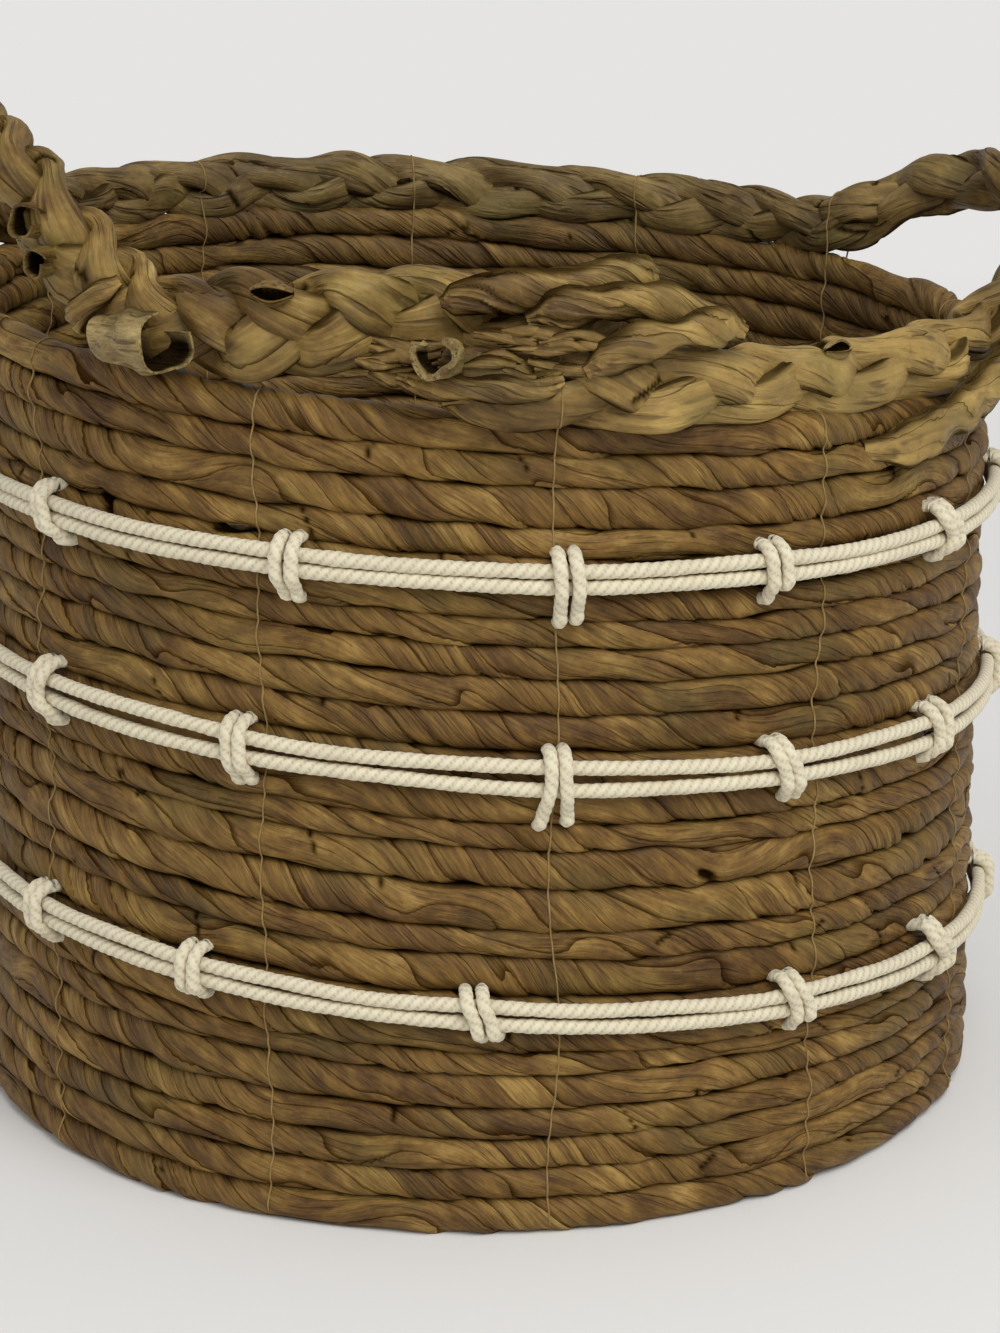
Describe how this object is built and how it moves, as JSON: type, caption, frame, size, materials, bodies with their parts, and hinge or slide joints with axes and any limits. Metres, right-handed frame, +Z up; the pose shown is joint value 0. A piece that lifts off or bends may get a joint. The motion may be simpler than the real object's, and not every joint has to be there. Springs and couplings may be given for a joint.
{
  "type": "coiled basket",
  "caption": "Round basket coiled from twisted leaf rope, with cotton cord bands and a plaited rim that lifts into handles.",
  "frame": {"origin": "middle of the base's underside, on the surface that the basket stands on", "axes": "+Z up through the open mouth, -Y towards the front, where the two ends of the rim plait pass each other, +X towards the lower handle"},
  "size_m": [0.3305, 0.3154, 0.2971],
  "materials": {
    "leaf_rope": "satin",
    "leaf_plait": "satin",
    "cotton_cord": "matte",
    "cotton_tie": "matte",
    "stitch_thread": "matte"
  },
  "bodies": {
    "root": {"base_rope": "leaf_rope", "wall_rope_lower": "leaf_rope", "wall_rope_upper": "leaf_rope", "rim_strand_1": "leaf_plait", "rim_strand_2": "leaf_plait", "rim_strand_3": "leaf_plait", "band_cord_top": "cotton_cord", "band_cord_middle": "cotton_cord", "band_cord_bottom": "cotton_cord", "tie_top_01": "cotton_tie", "tie_top_02": "cotton_tie", "tie_top_03": "cotton_tie", "tie_top_04": "cotton_tie", "tie_top_05": "cotton_tie", "tie_top_06": "cotton_tie", "tie_top_07": "cotton_tie", "tie_top_08": "cotton_tie", "tie_top_09": "cotton_tie", "tie_top_10": "cotton_tie", "tie_top_11": "cotton_tie", "tie_top_12": "cotton_tie", "tie_top_13": "cotton_tie", "tie_middle_01": "cotton_tie", "tie_middle_02": "cotton_tie", "tie_middle_03": "cotton_tie", "tie_middle_04": "cotton_tie", "tie_middle_05": "cotton_tie", "tie_middle_06": "cotton_tie", "tie_middle_07": "cotton_tie", "tie_middle_08": "cotton_tie", "tie_middle_09": "cotton_tie", "tie_middle_10": "cotton_tie", "tie_middle_11": "cotton_tie", "tie_middle_12": "cotton_tie", "tie_middle_13": "cotton_tie", "tie_bottom_01": "cotton_tie", "tie_bottom_02": "cotton_tie", "tie_bottom_03": "cotton_tie", "tie_bottom_04": "cotton_tie", "tie_bottom_05": "cotton_tie", "tie_bottom_06": "cotton_tie", "tie_bottom_07": "cotton_tie", "tie_bottom_08": "cotton_tie", "tie_bottom_09": "cotton_tie", "tie_bottom_10": "cotton_tie", "tie_bottom_11": "cotton_tie", "tie_bottom_12": "cotton_tie", "tie_bottom_13": "cotton_tie", "stitch_01": "stitch_thread", "stitch_02": "stitch_thread", "stitch_03": "stitch_thread", "stitch_04": "stitch_thread", "stitch_05": "stitch_thread", "stitch_06": "stitch_thread", "stitch_07": "stitch_thread", "stitch_08": "stitch_thread", "stitch_09": "stitch_thread", "stitch_10": "stitch_thread", "stitch_11": "stitch_thread", "stitch_12": "stitch_thread"}
  },
  "joints": []
}
